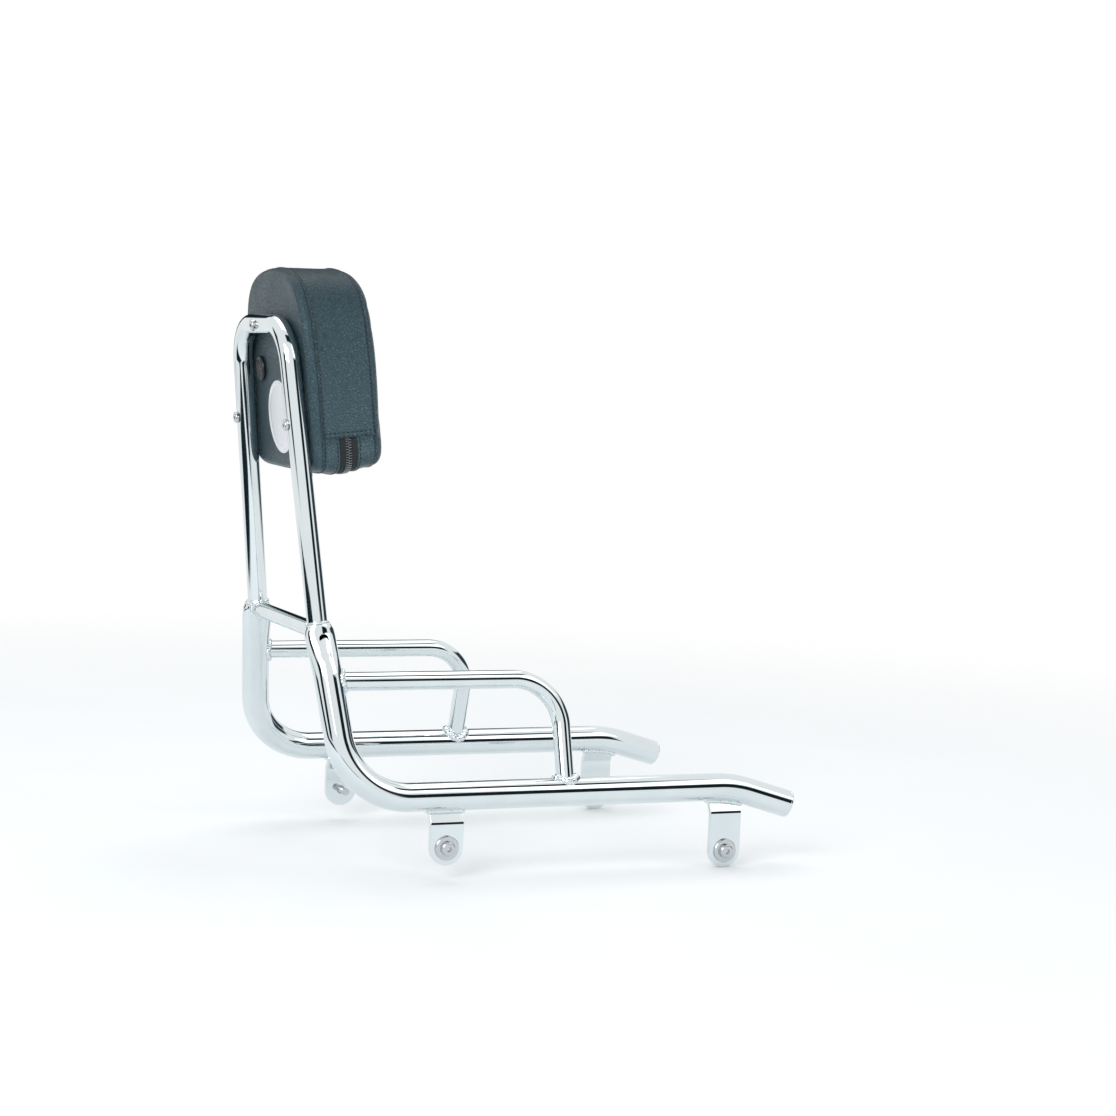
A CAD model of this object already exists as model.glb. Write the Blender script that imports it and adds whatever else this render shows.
# %% [markdown]
# # A sissy bar in chrome and leather
# The CAD frame brings every piece of the sissy bar at its true size and place.
# This lesson gives the pieces their looks, one step at a time.
# Chrome shows every fault of a mesh, so the tubes are drawn again as fine, even skins.
# The pad is soft, so it is sewn from panels and blown up by a short cloth simulation.

import math

import bmesh
import bpy
from mathutils import Matrix, Vector, noise
from mathutils.bvhtree import BVHTree


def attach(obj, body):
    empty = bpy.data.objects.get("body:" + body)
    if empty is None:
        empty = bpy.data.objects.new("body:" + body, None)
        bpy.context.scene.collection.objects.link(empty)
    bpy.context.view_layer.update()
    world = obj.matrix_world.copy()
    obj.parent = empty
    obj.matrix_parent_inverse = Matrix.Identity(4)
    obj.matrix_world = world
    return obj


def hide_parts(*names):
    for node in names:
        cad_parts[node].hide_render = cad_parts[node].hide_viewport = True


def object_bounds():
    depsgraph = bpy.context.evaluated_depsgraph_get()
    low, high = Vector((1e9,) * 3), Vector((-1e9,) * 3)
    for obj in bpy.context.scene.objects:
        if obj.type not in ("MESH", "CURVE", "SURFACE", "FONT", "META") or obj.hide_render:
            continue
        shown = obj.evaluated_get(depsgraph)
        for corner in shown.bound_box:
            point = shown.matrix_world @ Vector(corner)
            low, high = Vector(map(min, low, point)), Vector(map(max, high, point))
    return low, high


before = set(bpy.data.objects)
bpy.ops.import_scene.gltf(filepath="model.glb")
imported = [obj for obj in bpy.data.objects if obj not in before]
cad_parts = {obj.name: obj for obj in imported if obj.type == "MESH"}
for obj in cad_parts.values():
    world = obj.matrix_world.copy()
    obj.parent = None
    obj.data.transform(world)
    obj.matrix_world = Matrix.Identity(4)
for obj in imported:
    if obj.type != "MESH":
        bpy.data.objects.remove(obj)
cad_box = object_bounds()
print("CAD nodes:", len(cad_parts))

# %% [markdown]
# ## Sizes and drawing planes
# Blender counts in metres, and the drawing's sizes below are in millimetres.
# The side tube, rail and grab handle of a side lie in one tilted plane, and the hoop lies
# in a plane that leans backwards. Drawing in those planes keeps every path two-dimensional.

# %% Sizes and planes
MM = 0.001
AHEAD, LEFT, UP = Vector((1, 0, 0)), Vector((0, 1, 0)), Vector((0, 0, 1))
RAIL_SPAN = 300.0
RAIL_HEIGHT = 49.0
SIDE_TILT = math.radians(16.5)
BACK_LEAN = math.radians(6.9)
JOINT_X = -118.0
JOINT_HEIGHT = 211.0


def drawing_plane(origin, x, z):
    """Matrix of a plane from its origin in millimetres, its x axis and its normal."""
    matrix = Matrix((x, z.cross(x), z)).transposed().to_4x4()
    matrix.translation = Vector(origin) * MM
    return matrix


def at(plane, x, y, z=0.0):
    """A point given in a plane's millimetres, as a point of the scene."""
    return plane @ Vector((x * MM, y * MM, z * MM))


# x along the rail, y up the tilt, z outboard
SIDE = drawing_plane(
    (0, -RAIL_SPAN / 2, RAIL_HEIGHT), AHEAD, Vector((0, -math.cos(SIDE_TILT), math.sin(SIDE_TILT)))
)
# x to the left, y up the lean, z forward
HOOP = drawing_plane(
    (JOINT_X, 0, JOINT_HEIGHT), LEFT, Vector((math.cos(BACK_LEAN), 0, math.sin(BACK_LEAN)))
)
SIDE_RISE = (JOINT_HEIGHT - RAIL_HEIGHT) / math.cos(SIDE_TILT)
CORNER_X = JOINT_X + (JOINT_HEIGHT - RAIL_HEIGHT) * math.tan(BACK_LEAN)
SIDE_NORMAL = SIDE.to_3x3().col[2].normalized()
HOOP_NORMAL = HOOP.to_3x3().col[2].normalized()
print("uprights meet the rails at x =", round(CORNER_X, 1), "mm")

# %% [markdown]
# ## Finishes
# Every finish is made of nodes, so it needs no picture files and has the same scale everywhere.
# One helper adds a node, sets it up and joins its inputs. Colours are written as sRGB hex, as a
# colour picker shows them, and turned into the linear values that Blender renders with.
# Texture scales are worked out from the size of a feature in millimetres.

# %% Node helpers
# sockets of the Mix node when it mixes colours
MIX_FACTOR, MIX_A, MIX_B, MIX_OUT = 0, 6, 7, 2


def linear(hex_colour):
    """An sRGB colour such as 202628 as linear red, green, blue and alpha."""
    parts = [int(hex_colour[k:k + 2], 16) / 255 for k in (0, 2, 4)]
    return [p / 12.92 if p <= 0.04045 else ((p + 0.055) / 1.055) ** 2.4 for p in parts] + [1.0]


def per_metre(feature):
    """Texture scale that makes a feature of this many millimetres."""
    return 1 / (feature * MM)


def set_inputs(node, inputs):
    """Set a node's inputs to values, or join them to sockets. A node means its first output."""
    for key, value in inputs.items():
        if isinstance(value, bpy.types.Node):
            value = value.outputs[0]
        if isinstance(value, bpy.types.NodeSocket):
            node.id_data.links.new(value, node.inputs[key])
        else:
            node.inputs[key].default_value = value


def add(tree, kind, inputs=None, **settings):
    """Add a node with its settings, values and links."""
    made = tree.nodes.new(kind)
    for key, value in settings.items():
        setattr(made, key, value)
    set_inputs(made, inputs or {})
    return made


def new_material(name):
    """A material, its tree, its shader and the object's own coordinates in metres."""
    material = bpy.data.materials.new(name)
    material.use_nodes = True
    tree = material.node_tree
    where = add(tree, "ShaderNodeTexCoord").outputs["Object"]
    return material, tree, tree.nodes["Principled BSDF"], where


print("sRGB mid grey in linear light:", round(linear("808080")[0], 3))

# %% [markdown]
# Metals come first. Polished chrome is a mirror with a breath of haze and the faint waves that
# polishing leaves in a tube. The bolts are plated but not polished, so they are duller.
# The badge plate is satin aluminium, with a fine grain that spreads the light. They differ only
# in tint, haze and waves, so one function makes them all.

# %% Metals
# most values of a noise texture lie in this range, which a Map Range node spreads out
SPREAD = {"From Min": 0.3, "From Max": 0.7}


def metal(name, dark, light, smoothest, roughest, patch, wave, wave_height):
    """Plated metal: cloudy roughness, a little colour drift and shallow waves in the surface."""
    material, tree, shader, where = new_material(name)
    cloud = add(tree, "ShaderNodeTexNoise", {"Vector": where, "Scale": per_metre(patch), "Detail": 5.0})
    drift = add(
        tree, "ShaderNodeMix",
        {MIX_FACTOR: cloud, MIX_A: linear(dark), MIX_B: linear(light)}, data_type="RGBA",
    )
    rough = add(
        tree, "ShaderNodeMapRange", {"Value": cloud, **SPREAD, "To Min": smoothest, "To Max": roughest}
    )
    ripple = add(tree, "ShaderNodeTexNoise", {"Vector": where, "Scale": per_metre(wave), "Detail": 1.0})
    bump = add(tree, "ShaderNodeBump", {"Height": ripple, "Strength": 1.0, "Distance": wave_height * MM})
    set_inputs(
        shader,
        {"Metallic": 1.0, "Base Color": drift.outputs[MIX_OUT], "Roughness": rough, "Normal": bump},
    )
    return material


# plated and polished: a clear, cool mirror whose lines waver a little along the tubes
CHROME = metal("chrome_plate", "d2dbde", "e4ebed", 0.02, 0.06, 40, 14, 0.012)
# plated as it was forged: a soft shine without a clear mirror image
BOLT_STEEL = metal("plated_bolt_steel", "b4b8bb", "d3d6d8", 0.10, 0.24, 3, 1.5, 0.01)
# etched satin: a bright, even disc that mirrors nothing sharply
BADGE_METAL = metal("satin_aluminium", "e6eaf0", "f8fafc", 0.38, 0.52, 2, 0.7, 0.02)
# dark nickel, tumbled: small grey glints on the teeth
ZIP_METAL = metal("dark_nickel", "6f767a", "a5abae", 0.22, 0.36, 2, 0.8, 0.01)
# zinc straight from the bath: dull grey
NUT_STEEL = metal("zinc_steel", "8f9698", "b7bcbe", 0.28, 0.42, 4, 1.2, 0.01)
print("metals:", len(bpy.data.materials))

# %% [markdown]
# The leather is nearly black. What makes it leather is its grain: small rounded pebbles with
# creases between them, and a sheen that changes from place to place. A cell texture gives the
# pebbles, and noise bends its cells, because straight cells would look like tiles.

# %% Leather
PEBBLE_EDGE = 0.35
WEAR_PATCH = 30
WORN_LEVEL = 0.75
DULLER = 0.14


def leather(name, crease, crown, pebble, pebble_height, shine):
    """Grained hide: pebbles from a cell texture, bent by noise so that no two are alike."""
    material, tree, shader, where = new_material(name)
    bend = add(tree, "ShaderNodeTexNoise", {"Vector": where, "Scale": per_metre(3 * pebble), "Detail": 2.0})
    shove = add(
        tree, "ShaderNodeVectorMath",
        {0: bend.outputs["Color"], 1: (pebble * MM,) * 3, 2: where}, operation="MULTIPLY_ADD",
    )
    cells = add(
        tree, "ShaderNodeTexVoronoi",
        {"Vector": shove, "Scale": per_metre(pebble)}, feature="DISTANCE_TO_EDGE",
    )
    pebbles = add(
        tree, "ShaderNodeMapRange",
        {"Value": cells, "From Max": PEBBLE_EDGE}, interpolation_type="SMOOTHSTEP",
    )
    patches = add(
        tree, "ShaderNodeTexNoise", {"Vector": where, "Scale": per_metre(WEAR_PATCH), "Detail": 4.0}
    )
    wear = add(
        tree, "ShaderNodeMapRange", {"Value": patches, **SPREAD, "To Min": WORN_LEVEL, "To Max": 1.0}
    )
    level = add(tree, "ShaderNodeMath", {0: pebbles, 1: wear}, operation="MULTIPLY")
    colour = add(
        tree, "ShaderNodeMix",
        {MIX_FACTOR: level, MIX_A: linear(crease), MIX_B: linear(crown)}, data_type="RGBA",
    )
    rough = add(
        tree, "ShaderNodeMapRange", {"Value": patches, **SPREAD, "To Min": shine, "To Max": shine + DULLER}
    )
    bump = add(tree, "ShaderNodeBump", {"Height": pebbles, "Strength": 0.8, "Distance": pebble_height * MM})
    set_inputs(
        shader,
        {
            "Base Color": colour.outputs[MIX_OUT],
            "Roughness": rough,
            "IOR": 1.5,
            "Specular IOR Level": 0.45,
            "Specular Tint": linear("c8e6f0"),
            "Normal": bump,
        },
    )
    return material


# drum-dyed and embossed: dark, with a cool sheen that sparkles on the pebbles. Real pebbles are
# about half as wide; these are as coarse as they need to be to show in the render.
LEATHER = leather("black_leather", "2a393f", "384b54", 3.0, 0.4, 0.3)
print("finish:", LEATHER.name)

# %% [markdown]
# Thread, zip tape, plastic and wood need less: one noise for the grain, drawn out along an axis
# where the material has fibres, and one roughness.

# %% Thread, plastic and wood
def cloth_or_plastic(name, low, high, feature, height, rough, stretch=(1, 1, 1)):
    """Dull material with one kind of grain, drawn out along an axis if it has fibres."""
    material, tree, shader, where = new_material(name)
    scaled = add(tree, "ShaderNodeVectorMath", {0: where, 1: stretch}, operation="MULTIPLY")
    grain = add(
        tree, "ShaderNodeTexNoise", {"Vector": scaled, "Scale": per_metre(feature), "Detail": 3.0}
    )
    colour = add(
        tree, "ShaderNodeMix",
        {MIX_FACTOR: grain, MIX_A: linear(low), MIX_B: linear(high)}, data_type="RGBA",
    )
    bump = add(tree, "ShaderNodeBump", {"Height": grain, "Distance": height * MM})
    set_inputs(shader, {"Base Color": colour.outputs[MIX_OUT], "Roughness": rough, "Normal": bump})
    return material


# twisted and waxed: dark dashes that stand out from the leather
THREAD = cloth_or_plastic("sewing_thread", "06090b", "161d21", 0.5, 0.05, 0.45)
# woven flat: matt black, its weave drawn coarser than life so that it shows
ZIP_TAPE = cloth_or_plastic("woven_zip_tape", "101416", "272e33", 0.7, 0.12, 0.85)
# moulded: smooth black with a round highlight
PLASTIC = cloth_or_plastic("moulded_plastic", "0a0e10", "171d20", 2.5, 0.02, 0.2)
# sawn and left raw: pale wood with long grain
PLYWOOD = cloth_or_plastic("birch_plywood", "9a7447", "d1ae7c", 6.0, 0.1, 0.7, (1, 1, 0.1))
print("finishes:", len(bpy.data.materials))

# %% [markdown]
# ## Skins round the tubes
# A bent tube is straight runs joined by arcs. These helpers sample such a line closely. Blender's
# own curves could be bevelled instead, but their bends are not true arcs, and a tube bender makes
# true arcs.

# %% Path helpers
RUN_STEP = 5 * MM
ARC_STEP = math.radians(2.5)


def straight(start, end):
    """Points of a straight run without its last point."""
    count = max(1, round((end - start).length / RUN_STEP))
    return [start.lerp(end, k / count) for k in range(count)]


def bent_line(corners, radii):
    """Points along straight runs that are joined by arcs of the given radii in millimetres."""
    points = []
    start = corners[0]
    for before, corner, after, radius in zip(corners, corners[1:], corners[2:], radii):
        inward = (corner - before).normalized()
        outward = (after - corner).normalized()
        turn = inward.angle(outward)
        size = radius * MM
        arc_start = corner - inward * (size * math.tan(turn / 2))
        side = (outward - inward * inward.dot(outward)).normalized()
        centre = arc_start + side * size
        points += straight(start, arc_start)
        steps = math.ceil(turn / ARC_STEP)
        for k in range(steps):
            angle = turn * k / steps
            points.append(centre - side * (size * math.cos(angle)) + inward * (size * math.sin(angle)))
        start = centre - side * (size * math.cos(turn)) + inward * (size * math.sin(turn))
    return points + straight(start, corners[-1]) + [corners[-1]]


print("a bend of 90 degrees has", math.ceil(math.radians(90) / ARC_STEP), "steps")

# %% [markdown]
# A skin is oval rings along such a line, joined by quads and closed by a cap at each end. The
# rings keep the right size everywhere, which a hand-scaled cylinder would not, and their even
# quads give clean mirror reflections.

# %% Skin helpers
RING_SIDES = 72


def round_angles(count):
    """Even angles of a full turn."""
    return [2 * math.pi * k / count for k in range(count)]


def oval(centre, first, second, wide, deep, count=RING_SIDES):
    """Points of an oval with its half sizes along two directions."""
    points = []
    for turn in round_angles(count):
        points.append(centre + first * (wide * math.cos(turn)) + second * (deep * math.sin(turn)))
    return points


def quarter_turn(steps):
    """Even angles up to a quarter of a turn, without zero."""
    return [math.pi / 2 * k / steps for k in range(1, steps + 1)]


def add_object(name, data):
    """A new object of the scene."""
    made = bpy.data.objects.new(name, data)
    bpy.context.collection.objects.link(made)
    return made


def add_mesh(name, points, faces):
    """A new mesh object with its faces pointing outwards."""
    mesh = bpy.data.meshes.new(name)
    mesh.from_pydata(points, [], faces)
    work = bmesh.new()
    work.from_mesh(mesh)
    bmesh.ops.recalc_face_normals(work, faces=work.faces)
    work.to_mesh(mesh)
    work.free()
    return add_object(name, mesh)


def ring_faces(rings, sides):
    """Quads between closed rings of points, and a cap at each end."""
    faces = []
    for k in range(rings - 1):
        for s in range(sides):
            a = k * sides + s
            b = k * sides + (s + 1) % sides
            faces.append((a, b, b + sides, a + sides))
    return faces + [tuple(range(sides)), tuple(range((rings - 1) * sides, rings * sides))]


def tube_skin(name, line, normal, half_sizes):
    """Oval rings along a line: half sizes are in the line's plane and across it."""
    points = []
    last = len(line) - 1
    for k, (centre, (wide, deep)) in enumerate(zip(line, half_sizes)):
        ahead = line[min(k + 1, last)] - line[max(k - 1, 0)]
        points += oval(centre, ahead.cross(normal).normalized(), normal, wide, deep)
    return add_mesh(name, points, ring_faces(len(line), RING_SIDES))


def round_tube(name, line, normal, diameter):
    """Skin of a tube that is round all along."""
    radius = diameter / 2 * MM
    return tube_skin(name, line, normal, [(radius, radius)] * len(line))


print("a ring has", RING_SIDES, "points")

# %% [markdown]
# A few more helpers finish a piece: they turn modifiers into plain mesh, set the shading, mirror
# a right-hand piece to the left, and hand the piece over with its finish.

# %% Finishing helpers
def bake(made):
    """Make what the modifiers show the object's own mesh."""
    graph = bpy.context.evaluated_depsgraph_get()
    mesh = bpy.data.meshes.new_from_object(made.evaluated_get(graph))
    made.modifiers.clear()
    made.data = mesh
    return made


def shade(made, sharp=50):
    """Smooth shading, with an edge kept where faces meet at more than an angle in degrees."""
    made.data.shade_smooth()
    made.data.set_sharp_from_angle(angle=math.radians(sharp))
    return made


def tree_of(made):
    """Search tree of an object's faces, for rays."""
    return BVHTree.FromPolygons([v.co for v in made.data.vertices], [p.vertices for p in made.data.polygons])


def left_twin(right, name):
    """Mirror image of a right-hand piece."""
    mesh = right.data.copy()
    mesh.transform(Matrix.Scale(-1, 4, LEFT))
    mesh.flip_normals()
    return add_object(name, mesh)


def hand_over(made, finish, slot, *nodes):
    """Give a finished piece its material, and tell the frame what it stands for."""
    made.data.materials.clear()
    made.data.materials.append(finish)
    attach(made, "root")
    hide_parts(*nodes)
    print(made.name, len(made.data.polygons), "faces")
    return made


# %% [markdown]
# ## Side tubes
# Each side tube runs from the hoop's foot down to the rail and forward to its cap. One line with
# two bends carries the round part, from below the pinched end to the cap.

# %% Side tube line
SIDE_DIAMETER = 28.0
REAR_BEND_RADIUS = 68.0
FRONT_BEND_X = 310.0
FRONT_BEND_RADIUS = 120.0
FRONT_BEND_ANGLE = math.radians(17.5)
TAIL_LENGTH = 64.0
PINCH_LENGTH = 52.0
joint = at(SIDE, JOINT_X, SIDE_RISE)
corner = at(SIDE, CORNER_X, 0)
up = (joint - corner).normalized()
pinch_start = joint - up * (PINCH_LENGTH * MM)
tail_end = at(
    SIDE, FRONT_BEND_X + TAIL_LENGTH * math.cos(FRONT_BEND_ANGLE), -TAIL_LENGTH * math.sin(FRONT_BEND_ANGLE)
)
rail_line = bent_line(
    [pinch_start, corner, at(SIDE, FRONT_BEND_X, 0), tail_end], [REAR_BEND_RADIUS, FRONT_BEND_RADIUS]
)
half = SIDE_DIAMETER / 2 * MM
rail_sizes = [(half, half)] * len(rail_line)
print("round part of a side tube:", len(rail_line), "rings")

# %% [markdown]
# The upper end is drawn in: the tube is squeezed flat, shifts inboard and is closed with a
# rounded wall. The squeeze is a row of ovals along the tube's axis. Only a few are given, and a
# smooth curve through them fills in the rest.

# %% Pinched end
PINCH_SHIFT = 4.0
PINCH_END_ROUND = 3.0
PINCH_RINGS = 34
ROUND_STEPS = 6
# share of the pinch, half width in the plane, half depth across it, share of the shift
PINCH_STATIONS = (
    (0.00, 14.0, 14.0, 0.0),
    (0.22, 14.2, 13.2, 0.2),
    (0.50, 14.9, 11.2, 0.7),
    (0.75, 15.25, 10.0, 1.0),
    (0.90, 14.3, 10.0, 1.0),
    (1.00, 11.5, 10.0, 1.0),
)


def curve_between(a, b, c, d, t):
    """Smooth curve from b to c, led by the values before and after, for numbers and vectors."""
    return b + 0.5 * t * (c - a + t * (2 * a - 5 * b + 4 * c - d + t * (3 * (b - c) + d - a)))


def blend_stations(stations, share):
    """Smooth values between rows whose first value is a rising share."""
    k = 0
    while k < len(stations) - 2 and share > stations[k + 1][0]:
        k += 1
    near = [stations[min(max(k + j, 0), len(stations) - 1)] for j in (-1, 0, 1, 2)]
    t = (share - near[1][0]) / (near[2][0] - near[1][0])
    return [curve_between(*values, t) for values in zip(*near)]


pinch_line = []
pinch_sizes = []
for k in range(1, PINCH_RINGS + 1):
    share = k / PINCH_RINGS * (1 - PINCH_END_ROUND / PINCH_LENGTH)
    _, wide, deep, shift = blend_stations(PINCH_STATIONS, share)
    inboard = SIDE_NORMAL * (PINCH_SHIFT * shift * MM)
    pinch_line.append(pinch_start + up * (share * PINCH_LENGTH * MM) - inboard)
    pinch_sizes.append((wide * MM, deep * MM))
rim = pinch_line[-1]
rim_wide, rim_deep = pinch_sizes[-1]
for turn in quarter_turn(ROUND_STEPS):
    drawn_in = PINCH_END_ROUND * MM * (1 - math.cos(turn))
    pinch_line.append(rim + up * (PINCH_END_ROUND * MM * math.sin(turn)))
    pinch_sizes.append((rim_wide - drawn_in, rim_deep - drawn_in))
print("pinched end:", len(pinch_line), "rings")

# %% [markdown]
# The plating bath drains through a hole in the pinched end. A wall is added inwards, so that the
# hole, cut by a Boolean, opens into a dark tube.

# %% Side tubes
TUBE_WALL = 2.0
VENT_DIAMETER = 9.5
VENT_DROP = 16.0
VENT_SIDES = 32
side_tube = tube_skin(
    "side_tube_right", pinch_line[::-1] + rail_line, SIDE_NORMAL, pinch_sizes[::-1] + rail_sizes
)
side_tube_tree = tree_of(side_tube)
wall = side_tube.modifiers.new("Wall", "SOLIDIFY")
wall.thickness = TUBE_WALL * MM
wall.offset = -1
vent_centre = joint - up * (VENT_DROP * MM)
vent_radius = VENT_DIAMETER / 2 * MM
drill_points = []
for lift in (0.0, SIDE_DIAMETER * MM):
    centre = vent_centre + SIDE_NORMAL * lift
    drill_points += oval(centre, up, SIDE_NORMAL.cross(up), vent_radius, vent_radius, VENT_SIDES)
drill = add_mesh("drill", drill_points, ring_faces(2, VENT_SIDES))
vent = side_tube.modifiers.new("Vent", "BOOLEAN")
vent.operation = "DIFFERENCE"
vent.object = drill
bake(side_tube)
bpy.data.objects.remove(drill)
shade(side_tube)
left_side_tube = left_twin(side_tube, "side_tube_left")
hand_over(side_tube, CHROME, "chrome", "right_side_tube")
hand_over(left_side_tube, CHROME, "chrome", "left_side_tube")

# %% [markdown]
# ## Hoop, cross tube and grab handles
# The hoop is one tube bent twice, with legs that close in towards the top. The cross tube ties
# the feet together, and each grab handle leaves the side tube, runs forward and turns down.
# Their ends reach a little way into the tubes they meet, where the weld beads hide them.

# %% Hoop, cross tube and handles
HOOP_DIAMETER = 20.0
HOOP_FOOT = 96.0
HOOP_TOP = 73.0
HOOP_RISE = 284.0
HOOP_BEND_RADIUS = 42.0
HOOP_SINK = 3.0
CROSS_DIAMETER = 16.0
CROSS_DROP = 8.5
HANDLE_DIAMETER = 18.0
HANDLE_HEIGHT = 157.0
HANDLE_LEG_X = 127.0
HANDLE_BEND_RADIUS = 48.0
hoop_end = HOOP_FOOT + (HOOP_TOP - HOOP_FOOT) * -HOOP_SINK / HOOP_RISE
hoop_line = bent_line(
    [
        at(HOOP, -hoop_end, -HOOP_SINK),
        at(HOOP, -HOOP_TOP, HOOP_RISE),
        at(HOOP, HOOP_TOP, HOOP_RISE),
        at(HOOP, hoop_end, -HOOP_SINK),
    ],
    [HOOP_BEND_RADIUS, HOOP_BEND_RADIUS],
)
hoop = round_tube("hoop", hoop_line, HOOP_NORMAL, HOOP_DIAMETER)
cross_x = JOINT_X + CROSS_DROP * math.tan(BACK_LEAN)
cross_middle = Vector((cross_x, 0, JOINT_HEIGHT - CROSS_DROP)) * MM
cross_half = LEFT * (HOOP_FOOT * MM)
cross_line = straight(cross_middle - cross_half, cross_middle + cross_half) + [cross_middle + cross_half]
cross = round_tube("cross_tube_fine", cross_line, HOOP_NORMAL, CROSS_DIAMETER)
handle_rise = (HANDLE_HEIGHT - RAIL_HEIGHT) / math.cos(SIDE_TILT)
handle_start_x = CORNER_X + (JOINT_X - CORNER_X) * handle_rise / SIDE_RISE
handle_line = bent_line(
    [
        at(SIDE, handle_start_x, handle_rise),
        at(SIDE, HANDLE_LEG_X, handle_rise),
        at(SIDE, HANDLE_LEG_X, 0),
    ],
    [HANDLE_BEND_RADIUS],
)
handle = round_tube("grab_handle_fine_right", handle_line, SIDE_NORMAL, HANDLE_DIAMETER)
for tube in (hoop, cross, handle):
    shade(tube)
left_handle = left_twin(handle, "grab_handle_fine_left")
hand_over(hoop, CHROME, "chrome", "backrest_hoop")
hand_over(cross, CHROME, "chrome", "cross_tube")
hand_over(handle, CHROME, "chrome", "right_grab_handle")
hand_over(left_handle, CHROME, "chrome", "left_grab_handle")

# %% [markdown]
# ## Plates and fasteners from the CAD nodes
# Tabs, caps, washers and screws already have their true form in the CAD frame. A copy gets its
# loose triangles joined, its flat faces cleared and its sharp edges eased by a narrow bevel,
# because no plated edge is razor sharp and the bevel catches a thin line of light. Weighted
# normals keep the large faces flat, so they mirror without bending the picture.

# %% Plates and fasteners
MERGE_DISTANCE = 2e-6
FLAT_ANGLE = math.radians(0.5)
BEVEL_ANGLE = math.radians(40)
TAB_EASE = 0.7


def fine_copy(node, name, ease):
    """Copy of a CAD node with joined faces and eased edges, in millimetres."""
    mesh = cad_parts[node].data.copy()
    work = bmesh.new()
    work.from_mesh(mesh)
    bmesh.ops.remove_doubles(work, verts=work.verts, dist=MERGE_DISTANCE)
    bmesh.ops.dissolve_limit(work, angle_limit=FLAT_ANGLE, verts=work.verts, edges=work.edges)
    work.to_mesh(mesh)
    work.free()
    made = shade(add_object(name, mesh), sharp=35)
    if ease:
        bevel = made.modifiers.new("Ease", "BEVEL")
        bevel.width = ease * MM
        bevel.segments = 3
        bevel.limit_method = "ANGLE"
        bevel.angle_limit = BEVEL_ANGLE
        flat = made.modifiers.new("Flat", "WEIGHTED_NORMAL")
        flat.weight = 100
        bake(made)
    return made


# node, finish, slot and the width of its eased edges
TABS = ("right_front_tab", "right_rear_tab", "left_front_tab", "left_rear_tab")
PLATES = [(tab, CHROME, "chrome", TAB_EASE) for tab in TABS]
PLATES += [
    ("rail_end_caps", CHROME, "chrome", 0.3),
    ("mounting_washers", BOLT_STEEL, "fastener_steel", 0.2),
    ("mounting_bolts", BOLT_STEEL, "fastener_steel", 0.0),
    ("pad_screws", BOLT_STEEL, "fastener_steel", 0.0),
    ("pad_plugs", PLASTIC, "plug_plastic", 0.8),
    ("zip_slider", ZIP_METAL, "zip_fabric", 0.5),
]
for node, finish, slot, ease in PLATES:
    hand_over(fine_copy(node, node + "_fine", ease), finish, slot, node)

# %% [markdown]
# ## Weld beads
# A weld is a row of overlapping ripples that the torch left as it moved along the joint.
# Modelling each ripple by hand would be slow, so a Geometry Nodes group sweeps a round bead along
# the joint's line and swells it once per ripple, with a little noise, as if laid by hand.

# %% Group helpers
def socket_id(group, name):
    """Identifier of a group's input, which a modifier is set by."""
    for item in group.interface.items_tree:
        if item.name == name and item.in_out == "INPUT":
            return item.identifier


def new_group(name, **inputs):
    """Empty Geometry Nodes group with named inputs, and the sockets of its entry."""
    group = bpy.data.node_groups.new(name, "GeometryNodeTree")
    for label, kind in {"Geometry": "Geometry", **inputs}.items():
        group.interface.new_socket(label, in_out="INPUT", socket_type="NodeSocket" + kind)
    group.interface.new_socket("Geometry", in_out="OUTPUT", socket_type="NodeSocketGeometry")
    return group, add(group, "NodeGroupInput").outputs


def close_group(group, geometry, finish):
    """End of a group: real mesh instead of instances, smooth shading and the material."""
    solid = add(group, "GeometryNodeRealizeInstances", {"Geometry": geometry})
    smooth = add(group, "GeometryNodeSetShadeSmooth", {"Geometry": solid})
    dressed = add(group, "GeometryNodeSetMaterial", {"Geometry": smooth, "Material": finish})
    add(group, "NodeGroupOutput", {"Geometry": dressed})
    print(group.name, "has", len(group.nodes), "nodes")


# %% [markdown]
# The weld group takes a line and sizes. It follows the line in small steps, works out a radius
# from the distance travelled, and sweeps a circle of that radius along it.

# %% Weld group
WELD_STEP = 0.35
WELD_SIDES = 20
WANDER = 6
weld_group, entry = new_group(
    "weld_ripples", Bead="Float", Pitch="Float", Ripple="Float", Unevenness="Float", Finish="Material"
)
to_curve = add(weld_group, "GeometryNodeMeshToCurve", {"Mesh": entry["Geometry"]})
closely = add(
    weld_group, "GeometryNodeResampleCurve", {"Curve": to_curve, "Length": WELD_STEP * MM}, mode="LENGTH"
)
travel = add(weld_group, "GeometryNodeSplineParameter").outputs["Length"]
ripples = add(weld_group, "ShaderNodeMath", {0: travel, 1: entry["Pitch"]}, operation="DIVIDE")
tooth = add(weld_group, "ShaderNodeMath", {0: ripples}, operation="FRACT")
fall = add(weld_group, "ShaderNodeMath", {0: tooth, 1: 2.0}, operation="POWER")
depth = add(weld_group, "ShaderNodeMath", {0: fall, 1: entry["Ripple"]}, operation="MULTIPLY")
wander = add(weld_group, "ShaderNodeTexNoise", {"Scale": per_metre(WANDER), "Detail": 1.0})
centred = add(weld_group, "ShaderNodeMath", {0: wander, 1: 0.5}, operation="SUBTRACT")
uneven = add(weld_group, "ShaderNodeMath", {0: centred, 1: entry["Unevenness"]}, operation="MULTIPLY")
swell = add(weld_group, "ShaderNodeMath", {0: uneven, 1: depth}, operation="SUBTRACT")
whole = add(weld_group, "ShaderNodeMath", {0: swell, 1: 1.0}, operation="ADD")
radius = add(weld_group, "ShaderNodeMath", {0: whole, 1: entry["Bead"]}, operation="MULTIPLY")
profile = add(weld_group, "GeometryNodeCurvePrimitiveCircle", {"Resolution": WELD_SIDES, "Radius": 1.0})
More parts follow.
